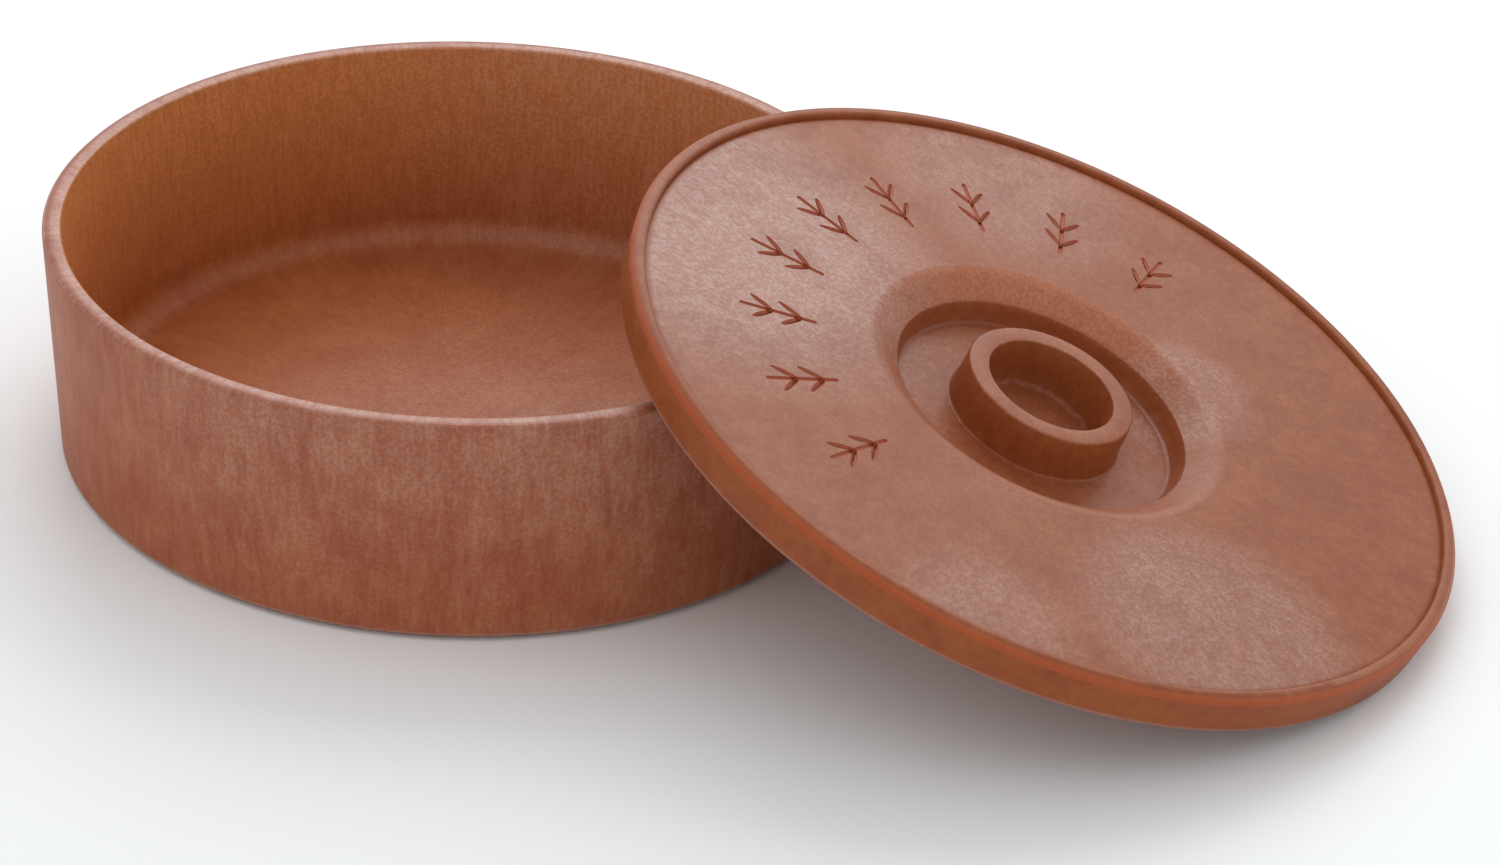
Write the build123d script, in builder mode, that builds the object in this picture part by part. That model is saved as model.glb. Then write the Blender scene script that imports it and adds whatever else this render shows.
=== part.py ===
from build123d import *
from math import cos, radians, sin
import os

# Tortilla server: a round tub and a loose lid with a knob sunk in its middle.
# Millimetres. The table is Z = 0, +Z is up, the tub stands on the origin and the lid leans towards +X.

# Tub
rim_radius = 136.0
base_radius = 131.8
tub_height = 77.6
tub_wall = 6.2
tub_wall_low = 6.6
tub_floor = 4.6
tub_floor_sweep = 9.0
rim_bevel = 1.2
rim_inner_bevel = 0.9
base_bevel = 1.2
foot_height = 1.2
foot_inset = 4.5
foot_width = 4.0

# Lid edge: a skirt that drops round the tub's rim, with a bead above and a slightly set-in lip below
lid_fit = 0.6
skirt_wall = 1.7
skirt_flare = 1.6
edge_height = 14.5
bead_width = 4.7
bead_bevel = 1.8
bead_inner_bevel = 0.7
lip_height = 1.4
lip_step = 0.35
skirt_bevel = 0.5

# Lid panel, which dips to a fine groove at the foot of the bead
panel_height = 12.8
panel_wall = 3.8
groove_width = 1.8
groove_depth = 0.5

# Sunken middle of the lid: the panel rolls over into a slope, and a steep wall drops from its crisp edge
collar_run = 8.8
collar_round = 9.0
recess_radius = 49.0
recess_edge = 6.8
recess_edge_bevel = 0.3
recess_taper = 2.3
recess_floor = -0.4
recess_wall = 3.0
recess_bevel = 1.0

# Knob: a hollow ring that stands in the recess
knob_height = 14.7
knob_radius = 27.8
knob_draft = 0.6
knob_wall = 6.8
knob_cup_taper = 1.0
knob_cup_drop = 1.0
knob_bevel = 0.7
knob_inner_bevel = 0.5
knob_root_bevel = 1.0
knob_cup_bevel = 1.5

# How the lid leans: its lowest edge on the table, its underside on the tub's rim
lean_angle = 20.2
rest_gap = 0.3

# Radii and heights that follow from the sizes above
foot_radius = base_radius - foot_inset
floor_top = foot_height + tub_floor
lid_inner_radius = rim_radius + lid_fit
lid_radius = lid_inner_radius + skirt_wall
lid_top_radius = lid_radius + skirt_flare
bead_inner_radius = lid_top_radius - bead_width
groove_inner_radius = bead_inner_radius - groove_width
groove_floor = panel_height - groove_depth
underside = panel_height - panel_wall
collar_radius = recess_radius + collar_run
recess_floor_radius = recess_radius - recess_taper
recess_bottom = recess_floor - recess_wall
knob_base_radius = knob_radius + knob_draft
knob_top = recess_floor + knob_height
cup_radius = knob_radius - knob_wall
cup_floor_radius = cup_radius - knob_cup_taper
cup_floor = recess_floor - knob_cup_drop

# The lid's own frame: its origin is the middle of the skirt's lower edge. The skirt's edge lies on the
# table, and the flat underside lies on the tub's rim.
lean = radians(lean_angle)
rim_edge_x = rim_radius - rim_bevel
lid_z = (lid_radius - skirt_bevel) * sin(lean)
rim_drop = underside - rest_gap - (tub_height - lid_z) * cos(lean)
lid_x = rim_edge_x - rim_drop / sin(lean)
lid_frame = Plane(origin=(lid_x, 0, lid_z), x_dir=(cos(lean), 0, -sin(lean)), z_dir=(sin(lean), 0, cos(lean)))
lid_section = Plane(origin=lid_frame.origin, x_dir=lid_frame.x_dir, z_dir=-lid_frame.y_dir)
lid_axis = Axis(lid_frame.origin, lid_frame.z_dir)


def corner(across, up):
    """The corner of the open section that lies nearest to the point (across, up)."""
    return vertices().sort_by_distance(Vector(across, up))[0]


os.makedirs("parts", exist_ok=True)

# The tub is one moulding: a tapered wall, a flat rim and a floor raised on a narrow foot ring.
with BuildPart() as tub:
    with BuildSketch(Plane.XZ):
        with BuildLine():
            Polyline(
                (0, foot_height),
                (foot_radius - foot_width, foot_height),
                (foot_radius - foot_width, 0),
                (foot_radius, 0),
                (foot_radius, foot_height),
                (base_radius, foot_height),
                (rim_radius, tub_height),
                (rim_radius - tub_wall, tub_height),
                (base_radius - tub_wall_low, floor_top),
                (0, floor_top),
                close=True,
            )
        make_face()
        chamfer(corner(base_radius, foot_height), length=base_bevel)
        chamfer(corner(rim_radius, tub_height), length=rim_bevel)
        chamfer(corner(rim_radius - tub_wall, tub_height), length=rim_inner_bevel)
        fillet(corner(base_radius - tub_wall_low, floor_top), radius=tub_floor_sweep)
    revolve(axis=Axis.Z)
tub.part.label = "tub"

# The lid is one moulding too: skirt, bead, flat panel, recess and hollow knob.
with BuildPart() as lid:
    with BuildSketch(lid_section):
        with BuildLine():
            Polyline(
                (0, cup_floor),
                (cup_floor_radius, cup_floor),
                (cup_radius, knob_top),
                (knob_radius, knob_top),
                (knob_base_radius, recess_floor),
                (recess_floor_radius, recess_floor),
                (recess_radius, recess_edge),
                (collar_radius, panel_height),
                (groove_inner_radius, panel_height),
                (bead_inner_radius, groove_floor),
                (bead_inner_radius, edge_height),
                (lid_top_radius, edge_height),
                (lid_radius + lip_step, lip_height),
                (lid_radius, lip_height),
                (lid_radius, 0),
                (lid_inner_radius, 0),
                (lid_inner_radius, underside),
                (collar_radius, underside),
                (recess_radius + recess_wall, recess_edge - recess_wall),
                (recess_floor_radius + recess_wall, recess_bottom),
                (0, recess_bottom),
                close=True,
            )
        make_face()
        chamfer(corner(cup_floor_radius, cup_floor), length=knob_cup_bevel)
        chamfer(corner(cup_radius, knob_top), length=knob_inner_bevel)
        chamfer(corner(knob_radius, knob_top), length=knob_bevel)
        chamfer(corner(knob_base_radius, recess_floor), length=knob_root_bevel)
        chamfer(corner(recess_floor_radius, recess_floor), length=recess_bevel)
        chamfer(corner(recess_radius, recess_edge), length=recess_edge_bevel)
        fillet(corner(collar_radius, panel_height), radius=collar_round)
        chamfer(corner(bead_inner_radius, edge_height), length=bead_inner_bevel)
        chamfer(corner(lid_top_radius, edge_height), length=bead_bevel)
        chamfer(corner(lid_radius, 0), length=skirt_bevel)
    revolve(axis=lid_axis)
lid.part.label = "lid"

export_step(tub.part, "parts/tub.step")
export_step(lid.part, "parts/lid.step")
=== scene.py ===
# %% [markdown]
# This table server is two mouldings in one terracotta-coloured plastic: a round open tub and a loose lid.
# Both could be modelled again here, but their shapes come finished from the CAD frame, so they are kept as
# they are. What is left to make is the camera, the plastic's fleck and sheen, the small sprigs engraved in
# the lid, the soft moulded edges and the light.

# %% Load the frame
import bpy
import bmesh
from math import cos, pi, radians, sin
from mathutils import Matrix, Vector


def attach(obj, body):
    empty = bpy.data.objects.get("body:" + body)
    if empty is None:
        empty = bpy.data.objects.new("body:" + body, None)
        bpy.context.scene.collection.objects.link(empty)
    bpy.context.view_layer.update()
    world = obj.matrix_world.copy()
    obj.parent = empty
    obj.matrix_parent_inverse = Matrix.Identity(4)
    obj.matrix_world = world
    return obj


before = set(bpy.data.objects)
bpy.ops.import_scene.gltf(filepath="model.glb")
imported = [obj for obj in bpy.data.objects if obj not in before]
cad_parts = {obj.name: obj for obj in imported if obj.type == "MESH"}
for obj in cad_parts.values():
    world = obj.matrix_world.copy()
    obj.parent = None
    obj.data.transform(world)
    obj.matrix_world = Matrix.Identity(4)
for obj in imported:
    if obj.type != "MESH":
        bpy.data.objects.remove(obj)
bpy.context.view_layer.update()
MM = 0.001
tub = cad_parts["tub"]
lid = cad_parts["lid"]

# %% [markdown]
# The lid leans with its edge on the table and its underside on the tub's rim. Its engraving and its fleck
# belong to the lid, so they are laid out in the lid's own frame. That frame could be typed in as numbers,
# but it is measured from the mesh, so that it stays right if the lid moves: the tilt is a known angle, the
# middle is halfway across the lid, and the height is counted down from the top of the lid's edge.

# %% Find the lid's own frame
LEAN = radians(20.2)
EDGE_HEIGHT = 14.5 * MM
PANEL_HEIGHT = 12.8 * MM

downhill = Vector((cos(LEAN), 0, -sin(LEAN)))
sideways = Vector((0, 1, 0))
upright = Vector((sin(LEAN), 0, cos(LEAN)))


def reach(piece, direction):
    """The lowest and highest place of a piece's points along a direction."""
    places = [direction.dot(v.co) for v in piece.data.vertices]
    return min(places), max(places)


middle = sum(reach(lid, downhill)) / 2
base = reach(lid, upright)[1] - EDGE_HEIGHT
lid_origin = downhill * middle + upright * base
lid_place = Matrix((downhill, sideways, upright)).transposed().to_4x4()
lid_place.translation = lid_origin
print("lid's own origin in mm:", [round(v / MM, 2) for v in lid_origin])

# %% [markdown]
# A camera can be placed by eye, but here the outlines of the rim, the base and the lid give the place that
# the photograph was taken from: about 1.5 m away, looking down by a third of a right angle, with a long
# lens and a slight roll. The three directions of the picture are worked out from those angles.

# %% Camera
CAMERA_PLACE = Vector((485.9, -1196.5, 734.7)) * MM
CAMERA_HEADING = radians(107.95)
CAMERA_DROP = radians(29.57)
CAMERA_ROLL = radians(3.03)
LENS = 107.95
FAR_LIMIT = 20

heading = Vector((cos(CAMERA_HEADING), sin(CAMERA_HEADING), 0))
ahead = heading * cos(CAMERA_DROP) - Vector((0, 0, sin(CAMERA_DROP)))
level_right = ahead.cross(Vector((0, 0, 1))).normalized()
level_up = level_right.cross(ahead)
picture_right = level_right * cos(CAMERA_ROLL) + level_up * sin(CAMERA_ROLL)
picture_up = level_up * cos(CAMERA_ROLL) - level_right * sin(CAMERA_ROLL)

camera_data = bpy.data.cameras.new("camera")
camera_data.lens = LENS
camera_data.clip_end = FAR_LIMIT
camera = bpy.data.objects.new("camera", camera_data)
camera.matrix_world = Matrix((picture_right, picture_up, -ahead)).transposed().to_4x4()
camera.matrix_world.translation = CAMERA_PLACE
bpy.context.scene.collection.objects.link(camera)
bpy.context.scene.camera = camera
print("camera distance in m:", round(CAMERA_PLACE.length, 2))

# %% [markdown]
# A material is a tree of small nodes. It could be clicked together in the shader editor. In a script, three
# helpers keep it readable: one turns a colour written as hex into the linear numbers that a shader wants,
# one adds a node and fills its sockets, and one starts an empty material.

# %% Material helpers
def linear(hex_colour):
    """An sRGB hex colour as linear red, green, blue and alpha."""
    channels = [int(hex_colour[i:i + 2], 16) / 255 for i in (1, 3, 5)]
    return [c / 12.92 if c <= 0.04045 else ((c + 0.055) / 1.055) ** 2.4 for c in channels] + [1.0]


def node(tree, kind, inputs=(), output=0, **settings):
    """Add a node with its settings, fill its sockets in order or by name, and hand back one output."""
    made = tree.nodes.new("ShaderNode" + kind)
    for name, value in settings.items():
        setattr(made, name, value)
    for socket, value in inputs.items() if isinstance(inputs, dict) else enumerate(inputs):
        if isinstance(value, bpy.types.NodeSocket):
            tree.links.new(value, made.inputs[socket])
        else:
            made.inputs[socket].default_value = linear(value) if isinstance(value, str) else value
    return made.outputs[output] if made.outputs else None


def new_material(name):
    """An empty node material and its tree."""
    material = bpy.data.materials.new(name)
    material.use_nodes = True
    material.node_tree.nodes.clear()
    return material, material.node_tree


print("mid grey in linear numbers:", [round(c, 3) for c in linear("#808080")])

# %% [markdown]
# The plastic's marks follow the piece and not the room, so every pattern is laid out in the piece's own
# frame, in millimetres. Unwrapping the surface and painting it would need an image. Working from the point
# itself needs none, and a place on a round piece is easily told by its radius and height. The melt was
# injected at the middle and flowed outward and up the walls, so the path along the flow is radius plus
# height. The direction round the piece is laid on a ring of one size, so marks keep their width. Map Range
# nodes then turn such a value into a mask: they take the value, the range it comes from and the range it
# goes to, which is 0 to 1 where it is left out.

# %% Places on a piece
FLOW_RING = 100.0
FLOW_STARTS = 35.0
FLOW_RULES = 120.0
FACING_SIDE = 0.35
FACING_UP = 0.70


def own_places(tree, origin, lean, axis):
    """The shading point in the piece's own frame, and what the patterns read from it."""
    point = node(tree, "TexCoord", output="Object")
    frame_inputs = {"Vector": point, "Location": origin, "Rotation": (0, lean, 0)}
    own = node(tree, "Mapping", frame_inputs, vector_type="TEXTURE")
    mm = node(tree, "VectorMath", {0: own, "Scale": 1 / MM}, operation="SCALE")
    flat = node(tree, "VectorMath", (mm, (1, 1, 0)), operation="MULTIPLY")
    around = node(tree, "VectorMath", (flat,), operation="NORMALIZE")
    radius = node(tree, "VectorMath", (flat,), output="Value", operation="LENGTH")
    height = node(tree, "SeparateXYZ", (mm,), output="Z")
    normal = node(tree, "TexCoord", output="Normal")
    facing = node(tree, "VectorMath", (normal, axis), output="Value", operation="DOT_PRODUCT")
    return {
        "mm": mm,
        "radius": radius,
        "height": height,
        "ring": node(tree, "VectorMath", {0: around, "Scale": FLOW_RING}, operation="SCALE"),
        "path": node(tree, "Math", (radius, height), operation="ADD"),
        "flowing": node(tree, "MapRange", (radius, FLOW_STARTS, FLOW_RULES)),
        "up": node(tree, "MapRange", (facing, FACING_SIDE, FACING_UP), interpolation_type="SMOOTHSTEP"),
    }


print("flow drawn fully from a radius of", FLOW_RULES, "mm")

# %% [markdown]
# The marks are of four kinds: even specks, fibres drawn out along the flow, wide patches of gloss, painted
# sheen and painted light, and fine rings of painted highlight and painted shade along edges and corners.
# Each could be a painted mask. Noise and distances do the same with one size in millimetres each, and look
# right from any side.

# %% Marks on the skin
def along_flow(tree, places, stretch):
    """A place where noise is read as fibres: drawn out along the flow by the stretch."""
    lift = node(tree, "CombineXYZ", {"Z": node(tree, "Math", (places["path"], stretch), operation="DIVIDE")})
    return node(tree, "VectorMath", (places["ring"], lift), operation="ADD")


def round_patch(tree, mm, middle, inner, outer, strength):
    """A round patch that fades out between two radii round its middle."""
    away = node(tree, "VectorMath", (mm, middle), output="Value", operation="DISTANCE")
    return node(tree, "MapRange", (away, inner, outer, strength, 0), interpolation_type="SMOOTHSTEP")


def ring_mark(tree, places, radius, height, width, strength):
    """A ring round the piece at one radius and height, that fades out at its width."""
    across = node(tree, "CombineXYZ", (places["radius"], places["height"]))
    away = node(tree, "VectorMath", (across, (radius, height, 0)), output="Value", operation="DISTANCE")
    return node(tree, "MapRange", (away, width / 2, width, strength, 0), interpolation_type="SMOOTHSTEP")


print("kinds of mark: specks, fibres, patches and rings")

# %% [markdown]
# Seen close, the moulded skin is full of fine pale and dark flecks over a wider mottling. One noise would
# show one size of mark only. Here specks and fibres are mixed for the flecks, and broader fibres are added
# to soft clouds for the mottling. A noise's scale is one over the size of its marks in millimetres. The real
# grain and fibres are about half a millimetre wide. Drawn so fine they wouldn't show in the picture, so both
# are drawn about twice as wide.

# %% Flecks and mottling
GRAIN_SIZE = 1.2
STREAK_WIDTH = 1.1
STREAK_SHARE = 0.4
MOTTLE_WIDTH = 3.2
MOTTLE_STRETCH = 0.7
CLOUD_SIZE = 20.0
PLAIN = {"Detail": 1.0, "Roughness": 0.6}
RICH = {"Detail": 3.0, "Roughness": 0.6}
FLECK_STEP = (0.40, 0.62)


def skin_marks(tree, places, stretch):
    """The grain, the flecks from dark to pale, and the wider mottling of the moulded skin."""
    mm, flowing = places["mm"], places["flowing"]
    fine_flow = along_flow(tree, places, stretch)
    wide_flow = along_flow(tree, places, MOTTLE_STRETCH * stretch)
    grain = node(tree, "TexNoise", {"Vector": mm, "Scale": 1 / GRAIN_SIZE, **PLAIN})
    fibres = node(tree, "TexNoise", {"Vector": fine_flow, "Scale": 1 / STREAK_WIDTH, **PLAIN})
    streaks = node(tree, "Mix", {"Factor": flowing, "A": grain, "B": fibres})
    speckle = node(tree, "Mix", {"Factor": STREAK_SHARE, "A": grain, "B": streaks})
    flecks = node(tree, "MapRange", (speckle, *FLECK_STEP))
    even = node(tree, "TexNoise", {"Vector": mm, "Scale": 1 / MOTTLE_WIDTH, **RICH})
    drawn = node(tree, "TexNoise", {"Vector": wide_flow, "Scale": 1 / MOTTLE_WIDTH, **RICH})
    mottles = node(tree, "Mix", {"Factor": flowing, "A": even, "B": drawn})
    clouds = node(tree, "TexNoise", {"Vector": mm, "Scale": 1 / CLOUD_SIZE, **RICH})
    return grain, flecks, node(tree, "Math", (mottles, clouds), operation="ADD")


print("grain", GRAIN_SIZE, "mm, streaks", STREAK_WIDTH, "mm, mottles", MOTTLE_WIDTH, "mm")

# %% [markdown]
# Both pieces are polypropylene with a pale mineral filler, injection moulded in a lightly grained mould. To
# the eye that is a matt-satin orange brown under a thin pale veil. One colour would look like paint, so the
# colour is built up in layers: deep, body, places of painted light, the pale veil, which is a painted sheen,
# dark flecks and last the fine rings of painted highlight and painted shade. Polypropylene's IOR is near
# 1.49, and a grained moulding's roughness lies between 0.3 and 0.5. In the sheen patches the skin is given
# more gloss, and the pale veil paints the room's reflection, a lilac sheen, into the colour as well. Side
# walls were dragged along the mould when the piece came out of it, so they shine less than the faces that
# look up.

# %% Terracotta polypropylene
PLASTIC_IOR = 1.49
WAVE_SIZE = 34.0
WAVE_HEIGHT = 0.25 * MM
PEEL_HEIGHT = 0.02 * MM

# Ranges for Map Range nodes: from low and from high, then to low and to high where these aren't 0 and 1.
FIGURE = (0.72, 1.28)
RAGGED = (0.85, 1.12, 0.70, 1.0)
# Painted sheen: the share of pale veil that the flecks mix into the colour.
PAINTED_SHEEN_RANGE = (0, 1, 0.12, 0.38)
DARK_FLECKS = (0, 1, 0.36, 0.0)
FLECK_SHINE = (0, 1, 0.82, 1.10)
FACING_GLOSS = (0, 1, 0.24, 0.31)
BLOOM_GLOSS = (0, 1, 0.0, 0.45)
ROUGHNESS = (0, 1, 0.46, 0.34)


def terracotta(tree, places, stretch, colours, gloss_and_painted_sheen_at, painted_light_places, rings):
    """Filled polypropylene from its deep, body and pale colours, with places of painted light and rings of
    painted highlight and shade.
    """
    deep, body, pale = colours
    grain, flecks, mottling = skin_marks(tree, places, stretch)
    # The sheen patches set the gloss, and through the pale veil they also paint the sheen into the colour.
    gloss_and_painted_sheen = node(tree, "Math", (gloss_and_painted_sheen_at, node(tree, "MapRange", (mottling, *RAGGED))), operation="MULTIPLY")
    painted_sheen = node(tree, "Math", (gloss_and_painted_sheen, node(tree, "MapRange", (flecks, *PAINTED_SHEEN_RANGE))), operation="MULTIPLY")
    shine = node(tree, "Math", (gloss_and_painted_sheen, node(tree, "MapRange", (flecks, *FLECK_SHINE))), operation="MULTIPLY")
    figure = node(tree, "MapRange", (mottling, *FIGURE))
    dark = node(tree, "MapRange", (flecks, *DARK_FLECKS))
    colour = deep
    # Layers over the deep colour: body mottling, places of painted light, the pale veil of painted sheen,
    # dark flecks, then rings of painted highlight and painted shade.
    for mask, over in [(figure, body), *painted_light_places, (painted_sheen, pale), (dark, deep), *rings]:
        # A Mix node takes its colours at sockets 6 and 7, and gives the mixed one at output 2.
        colour = node(tree, "Mix", {0: mask, 6: colour, 7: over}, output=2, data_type="RGBA")
    facing_gloss = node(tree, "MapRange", (places["up"], *FACING_GLOSS))
    bloom_gloss = node(tree, "MapRange", (shine, *BLOOM_GLOSS))
    wave = node(tree, "TexNoise", {"Vector": places["mm"], "Scale": 1 / WAVE_SIZE, **PLAIN})
    wavy = node(tree, "Bump", {"Height": wave, "Distance": WAVE_HEIGHT})
    shader = node(tree, "BsdfPrincipled", {
        "Base Color": colour,
        "Roughness": node(tree, "MapRange", (shine, *ROUGHNESS)),
        "IOR": PLASTIC_IOR,
        "Specular IOR Level": node(tree, "Math", (facing_gloss, bloom_gloss), operation="ADD"),
        "Normal": node(tree, "Bump", {"Height": grain, "Distance": PEEL_HEIGHT, "Normal": wavy}),
    })
    node(tree, "OutputMaterial", {"Surface": shader})


print("roughness from plain to bloomed skin:", ROUGHNESS[2:])

# %% [markdown]
# The tub's sheen is a grey-lilac haze, strongest at the top of the wall and on the flat rim. It thins out
# towards the foot and on the side turned away from the lid, where the orange body shows. It is given as
# gloss and also painted into the colour, as a gradient over height and across the tub. The inner wall is
# painted a lighter, clearer orange, stronger towards the top, for light bounced into it. A pale ring round
# the foot is a painted highlight, and a thin dark line on the rim's top is painted shade. Long fibres run up
# the wall, so the marks are stretched more than on the lid. Heights, radii and places are in millimetres.

# %% Tub plastic
TUB_COLOURS = ("#93431F", "#AA6038", "#B2968A")
# Painted bounce light: the lighter, clearer orange laid on the inner wall.
PAINTED_BOUNCE_ORANGE = "#D4884E"
TUB_STRETCH = 8.0
# Gloss and painted sheen: stronger up the wall, weaker on the side turned away from the lid, full on the
# rim's top.
GLOSS_AND_SHEEN_UP = (5, 74, 0.36, 0.90)
GLOSS_AND_SHEEN_ACROSS = (-105, -10, 0.1, 1)
RIM_GLOSS_AND_SHEEN = (76.2, 76.8, 0, 0.95)
WALL_MIDDLE = (0, 77.6, 128.5, 131.5)
INWARD = (-1.5, -0.5, 1, 0)
# Painted bounce light on the inner wall grows between these heights.
PAINTED_BOUNCE_UP = (8, 66, 0.15, 0.95)
SMOOTH = {"interpolation_type": "SMOOTHSTEP"}

tub_plastic, tree = new_material("terracotta_polypropylene_tub")
places = own_places(tree, (0, 0, 0), 0, (0, 0, 1))
radius, height = places["radius"], places["height"]
across = node(tree, "SeparateXYZ", (places["mm"],), output="X")
# Gloss and painted sheen over height, across the tub and on the rim's top.
gloss_and_painted_sheen_up = node(tree, "MapRange", (height, *GLOSS_AND_SHEEN_UP), **SMOOTH)
gloss_and_painted_sheen_across = node(tree, "MapRange", (across, *GLOSS_AND_SHEEN_ACROSS), **SMOOTH)
tub_gloss_and_painted_sheen = node(tree, "Math", (gloss_and_painted_sheen_up, gloss_and_painted_sheen_across), operation="MULTIPLY")
tub_gloss_and_painted_sheen = node(tree, "Math", (tub_gloss_and_painted_sheen, node(tree, "MapRange", (height, *RIM_GLOSS_AND_SHEEN))), operation="MAXIMUM")
# Painted bounce light: a lighter orange on the inner wall, stronger towards the top.
wall = node(tree, "MapRange", (height, *WALL_MIDDLE))
from_wall = node(tree, "Math", (radius, wall), operation="SUBTRACT")
inner = node(tree, "MapRange", (from_wall, *INWARD))
painted_bounce_inside = node(tree, "Math", (inner, node(tree, "MapRange", (height, *PAINTED_BOUNCE_UP))), operation="MULTIPLY")
# Painted highlight: a pale ring round the foot.
painted_foot_highlight = ring_mark(tree, places, radius=131.3, height=1.8, width=1.6, strength=0.35)
# Painted shade: a thin dark line on the rim's top.
painted_rim_shade = ring_mark(tree, places, radius=134.2, height=77.6, width=1.0, strength=0.55)
tub_painted_rings = [(painted_foot_highlight, TUB_COLOURS[2]), (painted_rim_shade, TUB_COLOURS[0])]
terracotta(tree, places, TUB_STRETCH, TUB_COLOURS, tub_gloss_and_painted_sheen, [(painted_bounce_inside, PAINTED_BOUNCE_ORANGE)], tub_painted_rings)
print("nodes in the tub's plastic:", len(tree.nodes))

# %% [markdown]
# The lid's sheen lies in a few wide patches, as in the photograph: over the uphill side, the low near side,
# the near and far edges, and the shoulder of the recess. There it is given as gloss and also painted into
# the colour, on faces that look up. The far slope of the recess is painted a lighter plain brown, as painted
# light over its shade. A fine orange ring is a painted highlight along the lid's outer edge, a paler one is
# a painted highlight round the skirt's lip, and the recess's corner is darkened with painted shade. Marks
# like these are often painted by hand. Patches and rings with a place and a size can be checked against the
# real thing one by one. The patches' middles are in the lid's own frame, in millimetres.

# %% Lid plastic
LID_COLOURS = ("#8A4322", "#9D572E", "#AD9891")
# Painted highlight: the orange of the ring along the lid's outer edge.
EDGE_HIGHLIGHT_ORANGE = "#B4522A"
# Painted light: the lighter plain brown laid on the recess's far slope.
PAINTED_LIGHT_BROWN = "#BC7350"
LID_STRETCH = 2.2
# Gloss and painted sheen: a little over the whole panel, more in the patches below.
LEAST_GLOSS_AND_SHEEN = 0.18
PANEL_ENDS = (132.5, 134.5, 1, 0.15)
PANEL = PANEL_HEIGHT / MM
UPHILL_PATCH = {"middle": (-112, -15, PANEL), "inner": 30, "outer": 105, "strength": 1.0}
NEAR_PATCH = {"middle": (80, -72, PANEL), "inner": 25, "outer": 62, "strength": 0.95}
EDGE_PATCH = {"middle": (20, -125, PANEL), "inner": 10, "outer": 45, "strength": 0.7}
SHOULDER_PATCH = {"middle": (38, 40, PANEL), "inner": 15, "outer": 34, "strength": 0.7}
FAR_PATCH = {"middle": (-50, 100, PANEL), "inner": 20, "outer": 70, "strength": 0.55}
SLOPE_PATCH = {"middle": (-20, 50, 10), "inner": 15, "outer": 80, "strength": 0.75}

lid_plastic, tree = new_material("terracotta_polypropylene_lid")
places = own_places(tree, lid_origin, LEAN, upright)
# Gloss and painted sheen in patches, kept to the panel and to faces that look up.
gloss_and_painted_sheen_at = LEAST_GLOSS_AND_SHEEN
for patch in (UPHILL_PATCH, NEAR_PATCH, EDGE_PATCH, SHOULDER_PATCH, FAR_PATCH):
    gloss_and_painted_sheen_at = node(tree, "Math", (round_patch(tree, places["mm"], **patch), gloss_and_painted_sheen_at), operation="MAXIMUM")
panel = node(tree, "MapRange", (places["radius"], *PANEL_ENDS), **SMOOTH)
gloss_and_painted_sheen_at = node(tree, "Math", (gloss_and_painted_sheen_at, panel), operation="MULTIPLY")
gloss_and_painted_sheen_at = node(tree, "Math", (gloss_and_painted_sheen_at, places["up"]), operation="MULTIPLY")
# Painted light: the recess's far slope is lifted to a lighter plain brown over its shade.
slope = ring_mark(tree, places, radius=54, height=10, width=8, strength=1.0)
slope_patch = round_patch(tree, places["mm"], **SLOPE_PATCH)
painted_light_slope = node(tree, "Math", (slope, slope_patch), operation="MULTIPLY")
# Painted highlight: a pale ring round the skirt's lip.
painted_lip_highlight = ring_mark(tree, places, radius=138.4, height=0.7, width=1.2, strength=0.3)
# Painted highlight: an orange ring along the lid's outer edge.
painted_edge_highlight = ring_mark(tree, places, radius=139.5, height=13.2, width=1.7, strength=0.6)
# Painted shade: a dark ring in the recess's corner.
painted_corner_shade = ring_mark(tree, places, radius=46.3, height=0.2, width=1.8, strength=0.6)
lid_painted_rings = [(painted_lip_highlight, LID_COLOURS[2]), (painted_edge_highlight, EDGE_HIGHLIGHT_ORANGE), (painted_corner_shade, LID_COLOURS[0])]
terracotta(tree, places, LID_STRETCH, LID_COLOURS, gloss_and_painted_sheen_at, [(painted_light_slope, PAINTED_LIGHT_BROWN)], lid_painted_rings)
print("nodes in the lid's plastic:", len(tree.nodes))

# %% [markdown]
# An engraved groove gets a plain, matt material of its own: the same polypropylene, in a redder orange than
# the lid's skin, which paints in the light that bounces round inside the groove. It could be the lid's own
# material with a mask, but a plain material of its own follows the cut exactly. It goes in the lid's second
# material slot, which the cutter's faces will point to.

# %% Groove plastic and material slots
# Painted bounce light: the groove's redder orange stands in for light bouncing round inside it.
PAINTED_BOUNCE_RED = "#A0461F"
CUT_ROUGHNESS = 0.55

groove_plastic, tree = new_material("terracotta_polypropylene_cut")
groove_inputs = {"Base Color": PAINTED_BOUNCE_RED, "Roughness": CUT_ROUGHNESS, "IOR": PLASTIC_IOR}
node(tree, "OutputMaterial", {"Surface": node(tree, "BsdfPrincipled", groove_inputs)})

tub.data.materials.clear()
tub.data.materials.append(tub_plastic)
lid.data.materials.clear()
lid.data.materials.append(lid_plastic)
lid.data.materials.append(groove_plastic)
print("materials:", [m.name for m in (*tub.data.materials, *lid.data.materials)])

# %% [markdown]
# A ring of small sprigs is engraved in the lid, from the far side round the uphill side to the near side.
# A sprig is a stem with two pairs of leaves, and each of these is one stroke of the graver. A bump map could
# fake the strokes, but then they would have no depth from the side. So a cutter is made for each stroke:
# narrow at the groove's bottom, wide at its lip, and carried past the surface for a clean cut. A stem has
# round ends and a leaf is pointed. The strokes' points are closer together near the ends, where they curve.

# %% One stroke of the graver
GROOVE_DEPTH = 0.65 * MM
GROOVE_LEVELS = ((-1.0, 0.35), (-0.3, 0.9), (0.4, 1.05))  # height in depths, and share of the width
STROKE_STEPS = 10


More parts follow.
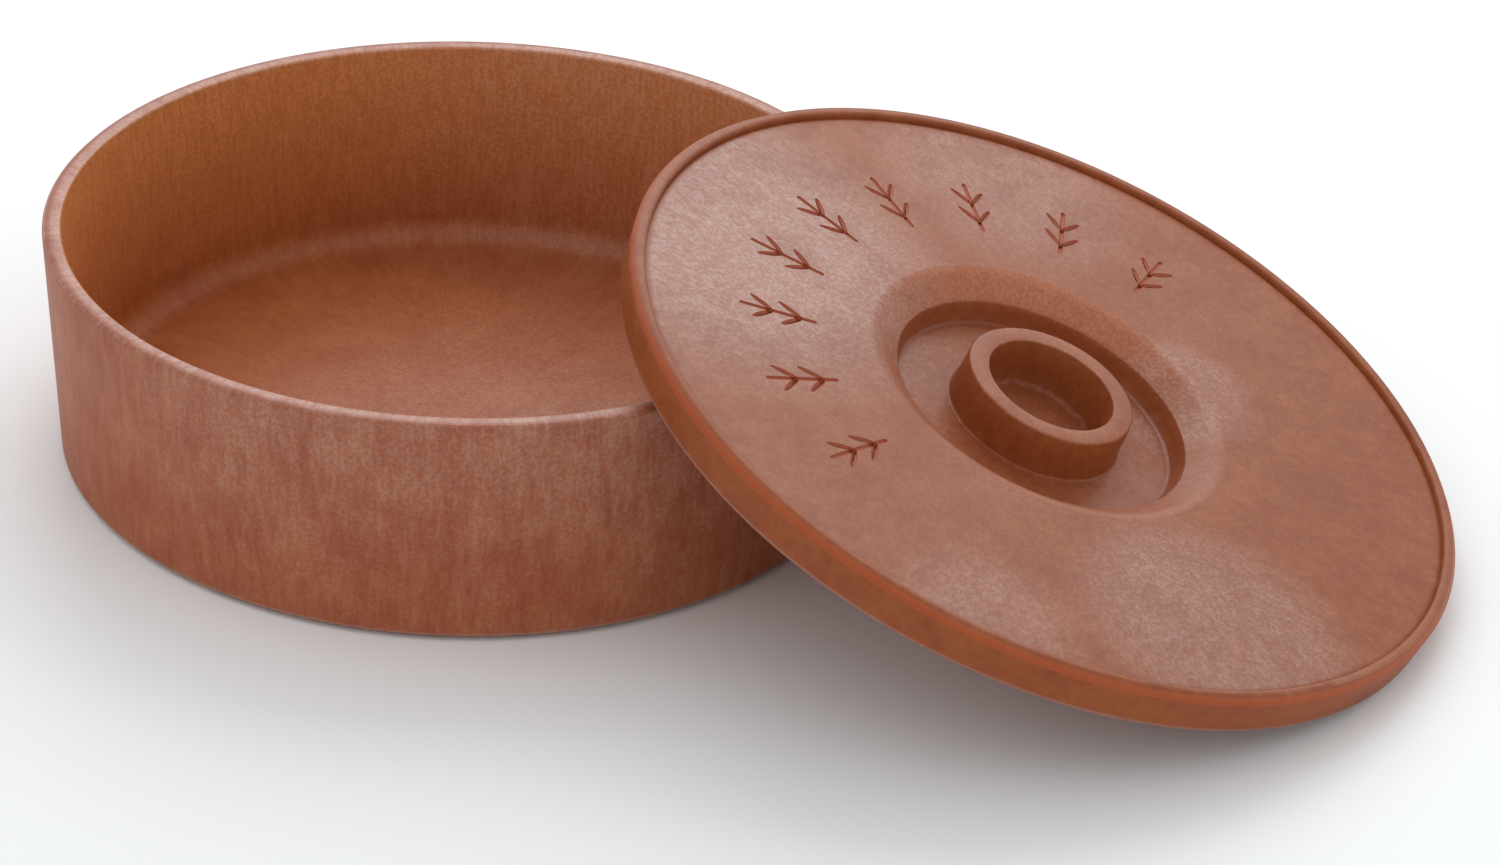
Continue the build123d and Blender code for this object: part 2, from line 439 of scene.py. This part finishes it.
def stroke_side(length, width, pointed):
    """Places along a stroke from end to end, each with the stroke's half-width there."""
    half = width / 2
    points = []
    for step in range(STROKE_STEPS + 1):
        share = step / STROKE_STEPS
        place = -length / 2 + length * (1 - cos(pi * share)) / 2
        from_end = min(place + length / 2, length / 2 - place)
        round_end = max(0.0, half ** 2 - max(0.0, half - from_end) ** 2) ** 0.5
        points.append((place, half * sin(pi * share) if pointed else round_end))
    return points


def add_stroke(mesh, place, length, width, pointed):
    """Add one closed cutter for a groove at a place on the lid's panel."""
    near, *inner, far = stroke_side(length, width, pointed)
    rings = []
    for level, share in GROOVE_LEVELS:
        grow = (share - 1) * width / 2
        outline = [(near[0] - grow, 0.0)]
        outline += [(x, -(half + grow)) for x, half in inner]
        outline += [(far[0] + grow, 0.0)]
        outline += [(x, half + grow) for x, half in reversed(inner)]
        rings.append([mesh.verts.new(place @ Vector((x, y, level * GROOVE_DEPTH))) for x, y in outline])
    for lower, upper in zip(rings, rings[1:]):
        for i in range(len(lower)):
            j = (i + 1) % len(lower)
            mesh.faces.new((lower[i], lower[j], upper[j], upper[i]))
    mesh.faces.new(list(reversed(rings[0])))
    mesh.faces.new(rings[-1])


print("groove depth in mm:", round(GROOVE_DEPTH / MM, 2))

# %% [markdown]
# The sprigs stand on one circle, an even turn apart. They could be an array modifier, but a loop lets one
# mesh hold every stroke, so a single Boolean modifier on the lid cuts them all and the lid's own mesh stays
# as the CAD made it. The cutter itself is hidden and hangs under an empty named for the lid's body.

# %% Sprig cutter
SPRIG_COUNT = 9
SPRIG_PITCH = radians(20)
SPRIG_FIRST = radians(85)
SPRIG_CIRCLE = 91.5 * MM
STEM_LENGTH = 26 * MM
STEM_WIDTH = 1.7 * MM
LEAF_LENGTH = 9.5 * MM
LEAF_WIDTH = 2.2 * MM
LEAF_TURN = radians(38)
LEAF_ROOTS = (-8.0 * MM, 1.5 * MM)  # along the stem, from its middle
LEAF_MIDDLE = Matrix.Translation((LEAF_LENGTH / 2, 0, 0))

cutter_mesh = bmesh.new()
panel_place = lid_place @ Matrix.Translation((0, 0, PANEL_HEIGHT))
for number in range(SPRIG_COUNT):
    turn = Matrix.Rotation(SPRIG_FIRST + number * SPRIG_PITCH, 4, "Z")
    sprig = panel_place @ turn @ Matrix.Translation((SPRIG_CIRCLE, 0, 0))
    add_stroke(cutter_mesh, sprig, STEM_LENGTH, STEM_WIDTH, pointed=False)
    for root in LEAF_ROOTS:
        for side in (1, -1):
            lean_out = Matrix.Rotation(side * LEAF_TURN, 4, "Z")
            leaf = sprig @ Matrix.Translation((root, 0, 0)) @ lean_out @ LEAF_MIDDLE
            add_stroke(cutter_mesh, leaf, LEAF_LENGTH, LEAF_WIDTH, pointed=True)

cutter_data = bpy.data.meshes.new("sprig_cutter")
cutter_mesh.to_mesh(cutter_data)
cutter_mesh.free()
cutter_data.materials.append(lid_plastic)
cutter_data.materials.append(groove_plastic)
cutter_data.polygons.foreach_set("material_index", [1] * len(cutter_data.polygons))
cutter = bpy.data.objects.new("sprig_cutter", cutter_data)
cutter.hide_render = True
bpy.context.scene.collection.objects.link(cutter)
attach(cutter, "lid")
print("cutter faces:", len(cutter_data.polygons))

# %% [markdown]
# A moulding has no sharp edge, and the CAD gives its edges small flat bevels. The CAD meshes come with each
# surface on its own, so such a bevel would shade as a hard stripe. Subdividing would make it round but
# change the size. Welding the seams and weighting the normals by face size makes it look round and leaves
# every point where it is. Edges that turn by more than the crisp angle, such as both edges of the bead's
# outer bevel and the lips of the grooves, are split first, so they stay crisp.

# %% Weld, engrave and soften
WELD_GAP = 0.001 * MM
CRISP_ANGLE = radians(47.5)
EVEN_WEIGHT = 50


def weld_seams(piece, name):
    """Join the surfaces of a piece where their edges meet."""
    weld = piece.modifiers.new(name, "WELD")
    weld.merge_threshold = WELD_GAP


def soften(piece):
    """Weld a piece, keep its sharply turned edges crisp and shade the rest smoothly."""
    weld_seams(piece, "weld_seams")
    crisp = piece.modifiers.new("crisp_corners", "EDGE_SPLIT")
    crisp.use_edge_sharp = False
    crisp.split_angle = CRISP_ANGLE
    weighted = piece.modifiers.new("soft_edges", "WEIGHTED_NORMAL")
    weighted.weight = EVEN_WEIGHT
    weighted.keep_sharp = False


soften(tub)
weld_seams(lid, "weld_before_cut")
cut = lid.modifiers.new("sprigs", "BOOLEAN")
cut.operation = "DIFFERENCE"
cut.solver = "EXACT"
cut.use_self = True
cut.object = cutter
soften(lid)
dressed = lid.evaluated_get(bpy.context.evaluated_depsgraph_get()).to_mesh()
print("lid faces with sprigs:", len(dressed.polygons))

# %% [markdown]
# The photograph was taken on a plain white sweep. A curved backdrop would hide the horizon, but seen from
# above a wide matt floor does the same and stays simple. It lies a hair below the table plane, so that it
# never flickers through the foot. Light Path tells it who is looking: the camera sees a white that is a
# touch cooler than the one that lights the object.

# %% Floor
FLOOR_HALF = 6.0
FLOOR_DROP = 0.05 * MM
SQUARE = ((-1, -1), (1, -1), (1, 1), (-1, 1))
LIT_WHITE = "#F8F8F8"
SEEN_WHITE = "#FAFDFF"

floor_mesh = bpy.data.meshes.new("floor")
floor_corners = [(x * FLOOR_HALF, y * FLOOR_HALF, -FLOOR_DROP) for x, y in SQUARE]
floor_mesh.from_pydata(floor_corners, [], [(0, 1, 2, 3)])
floor = bpy.data.objects.new("floor", floor_mesh)
bpy.context.scene.collection.objects.link(floor)

floor_material, tree = new_material("matt_white_sweep")
seen = node(tree, "LightPath", output="Is Camera Ray")
white = node(tree, "Mix", {0: seen, 6: LIT_WHITE, 7: SEEN_WHITE}, output=2, data_type="RGBA")
node(tree, "OutputMaterial", {"Surface": node(tree, "BsdfDiffuse", {"Color": white})})
floor_mesh.materials.append(floor_material)
print("floor in m:", [round(v, 2) for v in floor.dimensions])

# %% [markdown]
# The light is that of a white room with one big soft window. Several lamps could copy it, but an even sky
# gives the soft shadows at once, and one large square lamp above and behind does the rest: it leaves the
# knob's near side and the tub's front in half shade, and lays a broad pale sheen on the lid's uphill side.

# %% Light
WORLD_LEVEL = 0.86
WORLD_WHITE = "#F6F6F5"
SOFTBOX_PLACE = Vector((-0.24, 1.50, 1.40))
SOFTBOX_AIM = Vector((0.1, 0, 0.05))
SOFTBOX_SIZE = 1.8
SOFTBOX_POWER = 20

world = bpy.data.worlds.new("studio")
bpy.context.scene.world = world
world.use_nodes = True
sky = world.node_tree.nodes["Background"]
sky.inputs["Color"].default_value = linear(WORLD_WHITE)
sky.inputs["Strength"].default_value = WORLD_LEVEL

light = bpy.data.lights.new("back_softbox", "AREA")
light.shape = "SQUARE"
light.size = SOFTBOX_SIZE
light.energy = SOFTBOX_POWER
softbox = bpy.data.objects.new("back_softbox", light)
softbox.location = SOFTBOX_PLACE
softbox.rotation_euler = (SOFTBOX_PLACE - SOFTBOX_AIM).to_track_quat("Z", "Y").to_euler()
bpy.context.scene.collection.objects.link(softbox)
bpy.context.scene.view_settings.view_transform = "Standard"
print("softbox distance in m:", round((SOFTBOX_PLACE - SOFTBOX_AIM).length, 2))
